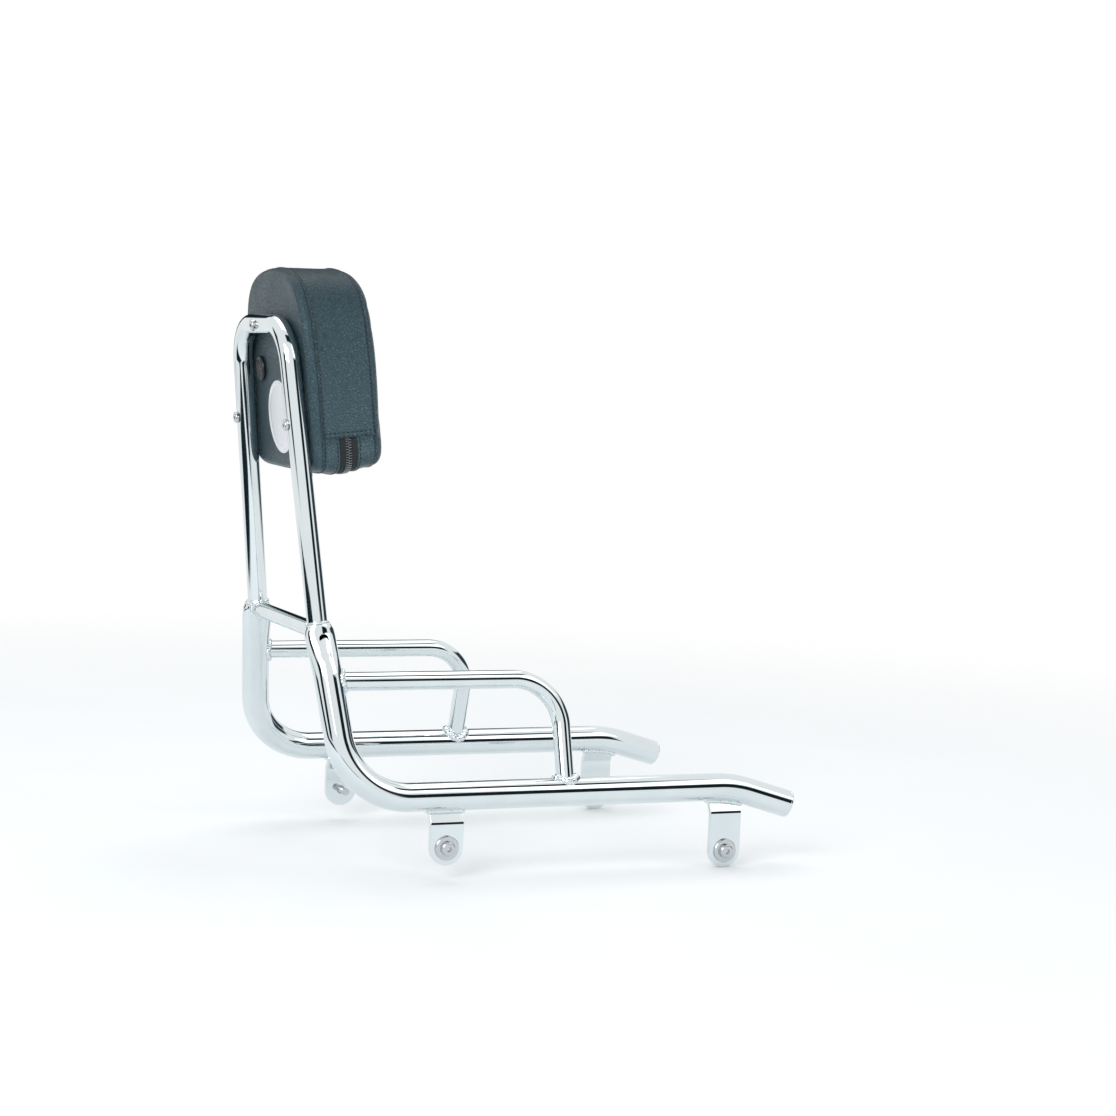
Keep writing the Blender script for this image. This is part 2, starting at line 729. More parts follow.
bead = add(
    weld_group, "GeometryNodeCurveToMesh",
    {"Curve": closely, "Profile Curve": profile, "Scale": radius, "Fill Caps": True},
)
close_group(weld_group, bead, entry["Finish"])

# %% [markdown]
# The group needs a line to follow. Where two tubes meet, that line is felt out: a ring round one
# tube is sent along its axis, point by point, until it meets the other. So the bead lies in the
# joint, whatever the angle between the tubes.

# %% Joint lines
UNEVENNESS = 0.45


def ring_round(centre, axis, radius):
    """Points of a circle round an axis, radius in millimetres."""
    first = axis.orthogonal().normalized()
    return oval(centre, first, axis.cross(first), radius * MM, radius * MM)


def joint_line(ring, direction, trees, reach):
    """Where each point of a ring, sent along a direction, first meets a piece."""
    line = []
    for point in ring:
        distances = []
        for tree in trees:
            hit = tree.ray_cast(point, direction, 2 * reach)
            if hit[0]:
                distances.append(hit[3])
        line.append(point + direction * min(distances, default=reach))
    return line


def path_mesh(name, points, closed):
    """Mesh of edges that joins points in a row."""
    edges = [(k, k + 1) for k in range(len(points) - 1)]
    if closed:
        edges.append((len(points) - 1, 0))
    mesh = bpy.data.meshes.new(name)
    mesh.from_pydata(points, edges, [])
    return add_object(name, mesh)


def run_group(made, group, **values):
    """Apply a Geometry Nodes group to an object and keep the result as its mesh."""
    modifier = made.modifiers.new(group.name, "NODES")
    modifier.node_group = group
    for name, value in values.items():
        modifier[socket_id(group, name)] = value
    return bake(made)


def weld(name, line, bead, pitch=2.2, ripple=0.2):
    """Rippled bead along a closed joint line, sizes in millimetres."""
    length = sum((a - b).length for a, b in zip(line, line[1:] + line[:1]))
    pitch = length / round(length / (pitch * MM))
    made = path_mesh(name, line, True)
    return run_group(
        made, weld_group,
        Bead=bead * MM, Pitch=pitch, Ripple=ripple, Unevenness=UNEVENNESS, Finish=CHROME,
    )


def join(name, parts):
    """One object from several."""
    work = bmesh.new()
    for part in parts:
        work.from_mesh(part.data)
        bpy.data.objects.remove(part)
    mesh = bpy.data.meshes.new(name)
    work.to_mesh(mesh)
    work.free()
    mesh.shade_smooth()
    return add_object(name, mesh)


def both_sides(parts):
    """Pieces and their mirror images."""
    return parts + [left_twin(part, part.name + "_left") for part in parts]


print("a joint line has", RING_SIDES, "points")

# %% [markdown]
# Four joints a side are felt out like that: the hoop's foot, the cross tube's end, the handle's
# root and its heel on the rail. The heel has the thickest bead.

# %% Tube welds
STANDOFF = 0.3
FOOT_REACH = 30 * MM
CROSS_SHARE = 0.6
HANDLE_START = 40 * MM
HANDLE_REACH = 26 * MM
ROOT_STANDOFF = 0.4
HEEL_STANDOFF = 1.6
hoop_tree = tree_of(hoop)
foot = at(HOOP, -HOOP_FOOT, 0)
leg_up = (at(HOOP, -HOOP_TOP, HOOP_RISE) - foot).normalized()
foot_ring = ring_round(foot + leg_up * FOOT_REACH, leg_up, HOOP_DIAMETER / 2 + STANDOFF)
foot_line = joint_line(foot_ring, -leg_up, [side_tube_tree], FOOT_REACH)
cross_ring = ring_round(cross_middle - cross_half * CROSS_SHARE, LEFT, CROSS_DIAMETER / 2 + STANDOFF)
cross_line = joint_line(cross_ring, -LEFT, [side_tube_tree, hoop_tree], FOOT_REACH)
handle_axis = (handle_line[1] - handle_line[0]).normalized()
root_start = handle_line[0] + handle_axis * HANDLE_START
root_ring = ring_round(root_start, handle_axis, HANDLE_DIAMETER / 2 + ROOT_STANDOFF)
root_line = joint_line(root_ring, -handle_axis, [side_tube_tree], HANDLE_REACH)
handle_down = (handle_line[-1] - handle_line[-2]).normalized()
heel_start = handle_line[-1] - handle_down * HANDLE_START
heel_ring = ring_round(heel_start, handle_down, HANDLE_DIAMETER / 2 + HEEL_STANDOFF)
heel_line = joint_line(heel_ring, handle_down, [side_tube_tree], HANDLE_REACH)
hoop_welds = [weld("weld_foot", foot_line, 1.7, ripple=0.12)]
cross_welds = [weld("weld_cross", cross_line, 2.3, ripple=0.25)]
handle_welds = [weld("weld_root", root_line, 3.0, 2.6, 0.28), weld("weld_heel", heel_line, 4.2, 4.0, 0.2)]
hand_over(join("weld_beads_hoop", both_sides(hoop_welds)), CHROME, "chrome", "hoop_foot_welds")
hand_over(join("weld_beads_cross", both_sides(cross_welds)), CHROME, "chrome", "cross_tube_welds")
hand_over(join("weld_beads_handle", both_sides(handle_welds)), CHROME, "chrome", "handle_welds")

# %% [markdown]
# The mounting tabs are welded on all round their roots. Here the ring is a rounded rectangle
# just larger than the plate, sent up into the rail along the plate's own slope.

# %% Tab welds
TAB_WIDTH = 34.0
TAB_THICKNESS = 5.0
TAB_OFFSET = 5.5
TAB_ROOT_OFFSET = -4.0
TAB_BEND_DROP = 26.0
TAB_STANDOFF = 1.2
TAB_REACH = 12 * MM
TAB_X = (0.0, 302.0)
PLATE_COUNT = 80
SQUARENESS = 0.3


def plate_ring(centre, along, across, half_long, half_short):
    """Points of a rounded rectangle, from a high-powered ellipse."""
    ring = []
    for turn in round_angles(PLATE_COUNT):
        c = math.cos(turn)
        s = math.sin(turn)
        x = half_long * math.copysign(abs(c) ** SQUARENESS, c)
        y = half_short * math.copysign(abs(s) ** SQUARENESS, s)
        ring.append(centre + along * (x * MM) + across * (y * MM))
    return ring


rail_y = -RAIL_SPAN / 2
root_point = Vector((0, rail_y - TAB_ROOT_OFFSET, RAIL_HEIGHT - SIDE_DIAMETER / 4))
bend_point = Vector((0, rail_y - TAB_OFFSET, RAIL_HEIGHT - TAB_BEND_DROP))
slope = (bend_point - root_point).normalized()
tab_welds = []
for x in TAB_X:
    start = (bend_point + AHEAD * x) * MM
    ring = plate_ring(
        start, AHEAD, slope.cross(AHEAD), TAB_WIDTH / 2 + TAB_STANDOFF, TAB_THICKNESS / 2 + TAB_STANDOFF
    )
    line = joint_line(ring, -slope, [side_tube_tree], TAB_REACH)
    tab_welds.append(weld("weld_tab", line, 2.6, 3.0, 0.22))
hand_over(join("weld_beads_tab", both_sides(tab_welds)), CHROME, "chrome", "tab_welds")

# %% [markdown]
# ## The pad's shape
# The pad is a firm cushion on a board: a flat back with a rounded edge, a band round the side
# and a crowned front. Its outline is a smooth closed curve through a few points measured in the
# hoop's plane. Rings of that outline are stacked from the back seam to the front seam, and two
# even grids close the back and the front, so there is no pole where creases would gather.

# %% Pad outline
PAD_BACK = HOOP_DIAMETER / 2 + 0.3
# half outline in the hoop's plane: sideways and up the lean
PAD_HALF = (
    (0.0, 141.6), (45.0, 141.4), (74.0, 142.4), (88.5, 147.6), (94.8, 158.5), (95.6, 176.0), (96.0, 196.0),
    (96.8, 220.0), (96.6, 242.0), (95.2, 262.0), (92.0, 281.0), (87.0, 297.5), (79.5, 311.0), (68.5, 322.0),
    (53.5, 329.8), (33.0, 335.0), (0.0, 337.8),
)
LOW_CORNER, HIGH_CORNER = 3, 12
COLUMNS = 66
STEPS = 24
LAP_EDGE = 173.6
CROWDING, CROWD_REACH = 3, 7


def bell(distance, width):
    """Smooth hump of height 1."""
    return math.exp(-((distance / width) ** 2))


def closed_curve(points, steps):
    """Smooth closed curve through points, with the same number of steps between each pair."""
    count = len(points)
    curve = []
    for k in range(count):
        near = [Vector(points[(k + j) % count]) for j in (-1, 0, 1, 2)]
        curve += [curve_between(*near, s / steps) for s in range(steps)]
    return curve


def even_points(curve, count):
    """Points at even distances along an open curve, closer together at the cross seam."""
    lengths = [0.0]
    for a, b in zip(curve, curve[1:]):
        crowding = 1 + CROWDING * bell(a.y - LAP_EDGE, CROWD_REACH)
        lengths.append(lengths[-1] + (b - a).length * crowding)
    points = []
    k = 0
    for j in range(count):
        goal = lengths[-1] * j / count
        while lengths[k + 1] < goal:
            k += 1
        points.append(curve[k].lerp(curve[k + 1], (goal - lengths[k]) / (lengths[k + 1] - lengths[k])))
    return points


loop = list(PAD_HALF) + [(-w, v) for w, v in PAD_HALF[-2:0:-1]]
curve = closed_curve(loop, STEPS)
marks = [len(loop) - LOW_CORNER, LOW_CORNER, HIGH_CORNER, len(loop) - HIGH_CORNER]
outline = []
for start, end in zip(marks, marks[1:] + marks[:1]):
    stop = end if end > start else end + len(loop)
    run = [curve[k % len(curve)] for k in range(start * STEPS, stop * STEPS + 1)]
    outline += even_points(run, COLUMNS)
sides = len(outline)
outward = []
for k in range(sides):
    along = outline[(k + 1) % sides] - outline[k - 1]
    outward.append(Vector((along.y, -along.x)).normalized())
print("pad outline:", sides, "points")

# %% [markdown]
# Each row of the pad's side has an inset from the outline and a depth in front of the back.
# Rows crowd together at the seams and at the zip, where the leather folds sharply. Towards the
# front the top edge sinks a little, because the foam there is softer than the board, and the
# underside hangs a little between its seams.

# %% Pad rows
REAR_SEAM = 9.8
FRONT_SEAM = 63.2
SEAM_LIP = 0.9
LIP_INSET = 0.05
BACK_INSET = 5.0
BACK_ROUND = 7.5
BACK_STEPS = 4
FRONT_ROLL = 18.0
FRONT_LIP = 73.3
TOP_SINK = 5.0
SINK_START = 285.0
BOTTOM_SAG = 4.5
SAG_START, SAG_FULL = 172.0, 150.0
SAG_DEPTH, SAG_REACH = 32.0, 20.0
BAND_DEPTHS = (
    10.7, 11.4, 12.6, 15.0, 18.0, 21.0, 23.6, 25.2, 26.0, 26.8, 29.0, 31.5, 33.5, 35.2, 37.0, 39.0, 41.5,
    43.6, 44.4, 45.2, 46.8, 50.0, 53.8, 57.5, 60.5, 61.6, 62.3,
)


def ease(value):
    """Smooth step from 0 to 1."""
    value = min(max(value, 0.0), 1.0)
    return value * value * (3 - 2 * value)


def pad_point(w, v, depth):
    """Point of the pad: sideways, up the lean, and in front of the back."""
    sink = TOP_SINK * ease(depth / FRONT_LIP) * ease((v - SINK_START) / (PAD_HALF[-1][1] - SINK_START))
    sag = BOTTOM_SAG * bell(depth - SAG_DEPTH, SAG_REACH) * ease((SAG_START - v) / (SAG_START - SAG_FULL))
    return at(HOOP, w, v - sink - sag, PAD_BACK + depth)


def inset_ring(inset):
    """The outline, drawn in by a number of millimetres."""
    return [p - n * inset for p, n in zip(outline, outward)]


def stacked(ring_rows):
    """Points of rings of the outline, each with its inset and depth."""
    return [pad_point(*p, depth) for inset, depth in ring_rows for p in inset_ring(inset)]


rows = []
for turn in [0.0] + quarter_turn(BACK_STEPS):
    rows.append((BACK_INSET * (1 - math.sin(turn)), BACK_ROUND * (1 - math.cos(turn))))
rows += [(0.0, REAR_SEAM - SEAM_LIP), (0.0, REAR_SEAM)]
REAR_ROW = len(rows) - 1
rows += [(0.0, depth) for depth in BAND_DEPTHS + (FRONT_SEAM,)]
FRONT_ROW = len(rows) - 1
rows.append((LIP_INSET, FRONT_SEAM + SEAM_LIP))
for turn in quarter_turn(ROUND_STEPS):
    rows.append((FRONT_ROLL * (1 - math.cos(turn)), FRONT_SEAM + (FRONT_LIP - FRONT_SEAM) * math.sin(turn)))
print("pad rows:", len(rows), "with seams at", REAR_ROW, "and", FRONT_ROW)

# %% [markdown]
# The back and the front are grids of four sides, so their points lie as evenly as threads in a
# cloth. Each inner point is blended from the four sides of its ring.

# %% Pad mesh
CROWN = 4.2
CROWN_REACH = 45.0


def patch(ring):
    """Even inner points of a ring of four equal sides, row by row."""
    n = COLUMNS
    bottom = [ring[k] for k in range(n + 1)]
    right = [ring[n + k] for k in range(n + 1)]
    top = [ring[3 * n - k] for k in range(n + 1)]
    left = [ring[(4 * n - k) % (4 * n)] for k in range(n + 1)]
    inner = []
    for j in range(1, n):
        t = j / n
        for i in range(1, n):
            s = i / n
            across = bottom[i].lerp(top[i], t) + left[j].lerp(right[j], s)
            inner.append(across - bottom[0].lerp(bottom[n], s).lerp(top[0].lerp(top[n], s), t))
    return inner


def patch_index(i, j, inner_start, ring_start):
    """Number of a grid point, on the ring or inside it."""
    n = COLUMNS
    if j == 0:
        return ring_start + i
    if i == n:
        return ring_start + n + j
    if j == n:
        return ring_start + 3 * n - i
    if i == 0:
        return ring_start + (4 * n - j) % (4 * n)
    return inner_start + (j - 1) * (n - 1) + i - 1


def patch_faces(inner_start, ring_start):
    """Quads of a grid whose edge is a ring of the pad's side."""
    faces = []
    for j in range(COLUMNS):
        for i in range(COLUMNS):
            corners = ((i, j), (i + 1, j), (i + 1, j + 1), (i, j + 1))
            faces.append(tuple(patch_index(a, b, inner_start, ring_start) for a, b in corners))
    return faces


pad_points = stacked(rows)
back_start = len(pad_points)
pad_points += [pad_point(p.x, p.y, 0.0) for p in patch(inset_ring(rows[0][0]))]
front_start = len(pad_points)
front_ring = inset_ring(rows[-1][0])
for p in patch(front_ring):
    inside = min((p - q).length for q in front_ring)
    bulge = CROWN * (1 - bell(inside, CROWN_REACH))
    pad_points.append(pad_point(p.x, p.y, FRONT_LIP + bulge))
# the caps at the ends of the rings give way to the two grids
pad_faces = ring_faces(len(rows), sides)[:-2]
pad_faces += patch_faces(back_start, 0) + patch_faces(front_start, (len(rows) - 1) * sides)
pad = add_mesh("backrest_pad", pad_points, pad_faces)
print("pad:", len(pad_points), "points in", len(rows), "rows")

# %% [markdown]
# ## Blowing up the pad
# Foam presses the leather out between its seams. The cloth simulation does the same: the back,
# which lies on the board, and the rows of the seams are pinned, and air pressure swells the rest.
# Large moves are held back softly, so no point strays far from the CAD form, and the result is
# kept as plain mesh.

# %% Cloth simulation
SIM_FRAMES = 20
SIM_CAP = 5.0
LAP_PIN = 1.5
CLOTH = {
    "quality": 6,
    "mass": 0.3,
    "tension_stiffness": 14,
    "compression_stiffness": 14,
    "bending_stiffness": 0.6,
    "use_pressure": True,
    "uniform_pressure_force": 4.0,
    "air_damping": 4.0,
    "vertex_group_mass": "sewn",
}
pinned = []
for index in range(len(pad_points)):
    row, column = divmod(index, sides)
    on_board = back_start <= index < front_start or row <= REAR_ROW
    in_seam = index < back_start and row == FRONT_ROW
    across = index < back_start and row <= FRONT_ROW and abs(outline[column].y - LAP_EDGE) < LAP_PIN
    if on_board or in_seam or across:
        pinned.append(index)
print("pinned points:", len(pinned))
pad.vertex_groups.new(name="sewn").add(pinned, 1.0, "REPLACE")
settings = pad.modifiers.new("Air", "CLOTH").settings
for key, value in CLOTH.items():
    setattr(settings, key, value)
settings.effector_weights.gravity = 0.0
for number in range(1, SIM_FRAMES + 1):
    bpy.context.scene.frame_set(number)
bake(pad)
pad.vertex_groups.clear()
bpy.context.scene.frame_set(1)
largest = 0.0
for vertex, start in zip(pad.data.vertices, pad_points):
    move = vertex.co - start
    largest = max(largest, move.length / MM)
    vertex.co = start + move / (1 + move.length / (SIM_CAP * MM))
print("cloth moved at most", round(largest, 1), "mm before the cap")

# %% [markdown]
# ## Seams, folds and the zip's channel
# Sewing pulls the leather in: a groove runs along both seams and across the side where the band
# meets the zipped gusset. Near a seam the leather puckers, and at the top corners the rounded
# back edge gathers into short folds. The gusset's edges fold over beside the zip. A formula
# gives each point its push along the surface's normal, because a seam this narrow is finer than
# the cloth simulation's own folds.

# %% Sewing formulas
SEAM_DEPTH, SEAM_WIDTH = 1.9, 0.9
HEM_LIFT, HEM_OFFSET, HEM_WIDTH = 0.5, 3.0, 2.2
LAP, LAP_ABOVE, LAP_BELOW, LAP_MARGIN = 1.0, 6, 3, 0.5
PUCKER, PUCKER_REACH = 0.3, 4.0
PUCKER_NOISE, GATHER_NOISE = (0.8, 0.12, 3.0), (0.9, 7.0, 0.0)
GATHER, GATHER_START, GATHER_RISE, GATHER_DEPTH = 0.7, 285, 20, 6
ZIP_MIDDLE, ZIP_HALF, ZIP_SINK, ZIP_LEDGE = 35.2, 9.0, 1.1, 0.6
FOLD_LIFT, FOLD_WIDTH = 0.6, 1.6


def band_push(depth, height, near):
    """Push of the band: a hem beside each seam, the lap of the cross seam, the zip's channel."""
    push = HEM_LIFT * bell(near - HEM_OFFSET, HEM_WIDTH)
    above = height - LAP_EDGE
    push += LAP * math.exp(-above / LAP_ABOVE) if above > 0 else -LAP * math.exp(above / LAP_BELOW)
    if above < -LAP_MARGIN:
        from_zip = abs(depth - ZIP_MIDDLE) - ZIP_HALF
        push -= ZIP_SINK * (1 - ease(from_zip + ZIP_LEDGE))
        push += FOLD_LIFT * bell(from_zip - FOLD_WIDTH, FOLD_WIDTH)
    return push


def sewn_push(row, column):
    """How far sewing pushes a point of the pad's side outwards, in millimetres."""
    depth = rows[row][1]
    height = outline[column].y
    near = min(abs(depth - REAR_SEAM), abs(depth - FRONT_SEAM))
    across, down, seed = PUCKER_NOISE
    wave = noise.noise(Vector((column * across, row * down, seed)))
    push = PUCKER * wave * math.exp(-near / PUCKER_REACH) - SEAM_DEPTH * bell(near, SEAM_WIDTH)
    if REAR_ROW < row < FRONT_ROW:
        push += band_push(depth, height, near)
    if row <= REAR_ROW and height > GATHER_START:
        across, *seeds = GATHER_NOISE
        fold = noise.noise(Vector((column * across, *seeds)))
        push += GATHER * fold * ease((height - GATHER_START) / GATHER_RISE) * ease(depth / GATHER_DEPTH)
    return push


print("a point in the rear seam is pushed", round(sewn_push(REAR_ROW, 0), 2), "mm")

# %% [markdown]
# Every point of the side is pushed along its own normal. One level of subdivision then rounds
# the folds off, and the pad is handed over for the cover's panels and the foam in them.

# %% Sewn shape
pad.data.update()
normals = [vertex.normal.copy() for vertex in pad.data.vertices]
for vertex, normal in zip(pad.data.vertices[:back_start], normals):
    vertex.co += normal * (sewn_push(*divmod(vertex.index, sides)) * MM)
smooth = pad.modifiers.new("Smooth", "SUBSURF")
smooth.levels = 1
smooth.render_levels = 1
bake(pad)
shade(pad, sharp=70)
hand_over(
    pad, LEATHER, "black_leather",
    "pad_back_panel", "pad_band", "pad_zip_gusset", "pad_front_panel", "pad_foam",
)
pad_tree = tree_of(pad)

# %% [markdown]
# ## Stitches and zip
# One Geometry Nodes group serves both: it sets a small piece at even steps along a path, turned
# to the path and to the surface under it, and can shift every other piece sideways. The paths
# are felt out on the finished pad by rays, so the thread lies on the leather everywhere.

# %% Row group
row_group, entry = new_group(
    "pieces_along_path",
    Piece="Object", Pitch="Float", Stagger="Float", Wobble="Float", Seed="Int", Finish="Material",
)
to_curve = add(row_group, "GeometryNodeMeshToCurve", {"Mesh": entry["Geometry"]})
steps = add(
    row_group, "GeometryNodeResampleCurve", {"Curve": to_curve, "Length": entry["Pitch"]}, mode="LENGTH"
)
tangent = add(row_group, "GeometryNodeInputTangent")
facing = add(row_group, "GeometryNodeInputNamedAttribute", {"Name": "outward"}, data_type="FLOAT_VECTOR")
along = add(row_group, "FunctionNodeAlignRotationToVector", {"Vector": tangent}, axis="X")
turned = add(
    row_group, "FunctionNodeAlignRotationToVector",
    {"Rotation": along, "Vector": facing.outputs["Attribute"]}, axis="Z", pivot_axis="X",
)
piece = add(row_group, "GeometryNodeObjectInfo", {"Object": entry["Piece"], "As Instance": True})
placed = add(
    row_group, "GeometryNodeInstanceOnPoints",
    {"Points": steps, "Instance": piece.outputs["Geometry"], "Rotation": turned},
)
# every other piece goes to the other side
number = add(row_group, "GeometryNodeInputIndex")
odd = add(row_group, "ShaderNodeMath", {0: number, 1: 2.0}, operation="MODULO")
swing = add(row_group, "ShaderNodeMath", {0: odd, 1: 2.0, 2: -1.0}, operation="MULTIPLY_ADD")
offset = add(row_group, "ShaderNodeMath", {0: swing, 1: entry["Stagger"]}, operation="MULTIPLY")
aside = add(row_group, "ShaderNodeCombineXYZ", {"Y": offset})
shifted = add(row_group, "GeometryNodeTranslateInstances", {"Instances": placed, "Translation": aside})
# no two pieces lie quite straight
least = add(row_group, "ShaderNodeMath", {0: entry["Wobble"], 1: -1.0}, operation="MULTIPLY")
chance = add(
    row_group, "FunctionNodeRandomValue",
    {2: least, 3: entry["Wobble"], "Seed": entry["Seed"]}, data_type="FLOAT",
)
lean = add(row_group, "ShaderNodeCombineXYZ", {"Z": chance.outputs[1]})
wobbled = add(row_group, "GeometryNodeRotateInstances", {"Instances": shifted, "Rotation": lean})
close_group(row_group, wobbled, entry["Finish"])

# %% [markdown]
# A path is felt out from outside the pad: from each point of the outline a ray goes straight in
# at the wanted depth, and the spot it meets gives the place and the direction of the surface.

# %% Paths on the pad
FEELER = 25.0


def on_pad(column, depth):
    """Place and outward direction on the pad's side, at a column of the outline and a depth."""
    low = int(math.floor(column)) % sides
    share = column - math.floor(column)
    high = (low + 1) % sides
    p = outline[low].lerp(outline[high], share)
    n = outward[low].lerp(outward[high], share).normalized()
    start = pad_point(*(p + n * FEELER), depth)
    end = pad_point(*(p - n * FEELER), depth)
    place, normal, _, _ = pad_tree.ray_cast(start, (end - start).normalized())
    return place, normal


def surface_path(name, spots, lift, closed):
    """Path of places on the pad, lifted off it, that remembers which way is outwards."""
    made = path_mesh(name, [place + normal * (lift * MM) for place, normal in spots], closed)
    facing = made.data.attributes.new("outward", "FLOAT_VECTOR", "POINT")
    for k, (_, normal) in enumerate(spots):
        facing.data[k].vector = normal
    return made


def grain(name, half_long, half_wide, half_high):
    """Small rounded piece of a few dozen faces, to be repeated."""
    mesh = bpy.data.meshes.new(name)
    work = bmesh.new()
    bmesh.ops.create_uvsphere(work, u_segments=8, v_segments=6, radius=1.0)
    bmesh.ops.rotate(work, verts=work.verts, matrix=Matrix.Rotation(math.pi / 2, 3, "Y"))
    bmesh.ops.scale(work, verts=work.verts, vec=(half_long * MM, half_wide * MM, half_high * MM))
    work.to_mesh(mesh)
    work.free()
    return add_object(name, mesh)


def column_at(height, left):
    """Column of the pad's side where the outline passes a height."""
    first, last = (COLUMNS, 2 * COLUMNS) if left else (3 * COLUMNS, 4 * COLUMNS)
    return min(range(first, last), key=lambda k: abs(outline[k].y - height))


ZIP_MARGIN = 0.4
zip_first = column_at(LAP_EDGE - ZIP_MARGIN, False)
zip_last = column_at(LAP_EDGE - ZIP_MARGIN, True) + 4 * COLUMNS
zip_columns = [zip_first + k / 2 for k in range(2 * (zip_last - zip_first) + 1)]
print("zip:", len(zip_columns), "places round the bottom of the pad")

# %% [markdown]
# The thread shows as short dashes: one row beside each seam, two across the side above the zip,
# and one on each side of the zip. The dashes are longer and thicker than real stitches, because
# real ones would be lost in the render.

# %% Stitches
STITCH_PITCH = 4.2
STITCH_LIFT = 0.12
SEAM_OFFSET = 1.9
ZIP_OFFSET = 2.4
CROSS_HEIGHTS = (1.2, 5.0)
CROSS_START, CROSS_STEP, CROSS_COUNT = 3, 1.5, 31
stitch_grain = grain("stitch_grain", 1.6, 0.6, 0.45)
seam_rows = []
for depth in (REAR_SEAM + SEAM_OFFSET, FRONT_SEAM - SEAM_OFFSET):
    spots = [on_pad(k / 2, depth) for k in range(2 * sides)]
    seam_rows.append(surface_path("seam_row", spots, STITCH_LIFT, True))
for left in (False, True):
    for height in CROSS_HEIGHTS:
        column = column_at(LAP_EDGE + height, left)
        spots = [on_pad(column, REAR_SEAM + CROSS_START + k * CROSS_STEP) for k in range(CROSS_COUNT)]
        seam_rows.append(surface_path("cross_row", spots, STITCH_LIFT, False))
for depth in (ZIP_MIDDLE - ZIP_HALF - ZIP_OFFSET, ZIP_MIDDLE + ZIP_HALF + ZIP_OFFSET):
    spots = [on_pad(column, depth) for column in zip_columns]
    seam_rows.append(surface_path("zip_row", spots, STITCH_LIFT, False))
for path in seam_rows:
    run_group(
        path, row_group,
        Piece=stitch_grain, Pitch=STITCH_PITCH * MM, Stagger=0.0, Wobble=0.06, Seed=4, Finish=THREAD,
    )
stitches = join("pad_stitches", seam_rows)
bpy.data.objects.remove(stitch_grain)
hand_over(stitches, THREAD, "black_leather")

# %% [markdown]
# The zip closes the gusset round the bottom of the pad. Its tape is a strip laid in the channel,
# and its teeth are small grains set left and right in turn, so that the two sides interlock.

# %% Zip tape and teeth
TAPE_COLUMNS = 9
TAPE_MARGIN = 0.3
TAPE_LIFT = 0.35
TAPE_THICKNESS = 0.5
TOOTH_PITCH = 1.3
TOOTH_STAGGER = 1.3
TOOTH_LIFT = 0.9
tape_points = []
tape_faces = []
for column in zip_columns:
    for c in range(TAPE_COLUMNS):
        depth = ZIP_MIDDLE + (2 * c / (TAPE_COLUMNS - 1) - 1) * (ZIP_HALF - TAPE_MARGIN)
        place, normal = on_pad(column, depth)
        tape_points.append(place + normal * (TAPE_LIFT * MM))
for k in range(len(zip_columns) - 1):
    for c in range(TAPE_COLUMNS - 1):
        a = k * TAPE_COLUMNS + c
        tape_faces.append((a, a + 1, a + TAPE_COLUMNS + 1, a + TAPE_COLUMNS))
tape = add_mesh("zip_tape", tape_points, tape_faces)
thick = tape.modifiers.new("Thickness", "SOLIDIFY")
thick.thickness = TAPE_THICKNESS * MM
thick.offset = 0
bake(tape)
shade(tape)
hand_over(tape, ZIP_TAPE, "zip_fabric", "zip_chain")
tooth_grain = grain("tooth_grain", 0.5, 2.3, 0.9)
spots = [on_pad(column, ZIP_MIDDLE) for column in zip_columns]
teeth = surface_path("zip_teeth", spots, TOOTH_LIFT, False)
run_group(
    teeth, row_group,
    Piece=tooth_grain, Pitch=TOOTH_PITCH * MM, Stagger=TOOTH_STAGGER * MM, Wobble=0.02, Seed=9,
    Finish=ZIP_METAL,
)
bpy.data.objects.remove(tooth_grain)
hand_over(teeth, ZIP_METAL, "zip_fabric", "zip_chain")

# %% [markdown]
# ## Badge plate
# A thin round plate lies on the pad's back. A turned profile, spun round its axis, gives it a
# raised rim and a very shallow dome, so that the light slides across it. Its face is left bare.

# %% Badge
BADGE_HEIGHT = 192.5
BADGE_SIDES = 96
# radius and height above the pad's back
BADGE_PROFILE = (
    (36.0, 0.0), (36.0, 0.7), (35.7, 1.1), (35.1, 1.3), (34.2, 1.3), (33.6, 1.1), (33.2, 0.5), (32.6, 0.3),
    (32.0, 0.4), (31.5, 0.8), (30.8, 1.0), (24.0, 1.1), (14.0, 1.2), (6.0, 1.25), (1.0, 1.27),
)
badge_points = []
for radius, lift in BADGE_PROFILE:
    centre = at(HOOP, 0, BADGE_HEIGHT, PAD_BACK - lift)
    badge_points += oval(centre, LEFT, HOOP_NORMAL.cross(LEFT), radius * MM, radius * MM, BADGE_SIDES)
badge = add_mesh("badge_plate", badge_points, ring_faces(len(BADGE_PROFILE), BADGE_SIDES))
shade(badge, sharp=40)
hand_over(badge, BADGE_METAL, "badge_aluminium", "pad_badge")

# %% [markdown]
# ## Pieces inside the pad
# The board and its nuts are seen only when the cover comes off, but they still get the finish of
# what they are. The board is cut to the pad's sewn outline, a little smaller, with broken edges.

# %% Board and nuts
# inset from the outline and depth in front of the pad's back
BOARD_ROWS = ((9.0, 2.2), (7.0, 3.2), (6.0, 5.0), (6.0, 7.4), (6.8, 8.2))
board = add_mesh("pad_board_fine", stacked(BOARD_ROWS), ring_faces(len(BOARD_ROWS), sides))
shade(board, sharp=40)
hand_over(board, PLYWOOD, "plywood", "pad_board")
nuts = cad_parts["pad_tee_nuts"].data
nuts.materials.clear()
nuts.materials.append(NUT_STEEL)

# %% [markdown]
# ## Stage and light
# The floor is plain and pale and fades into a white background, which chrome also mirrors. A mix
# with a clear shader fades it out, so there is no horizon in the picture.

# %% Floor
FLOOR_GAP = 0.2 * MM
FLOOR_SIZE = 8.0
FLOOR_FADE = {"From Min": 0.7, "From Max": 2.2}
FADE_OUT = {"To Min": 1.0, "To Max": 0.0}
SHEET_CORNERS = ((0, 0), (1, 0), (1, 1), (0, 1))


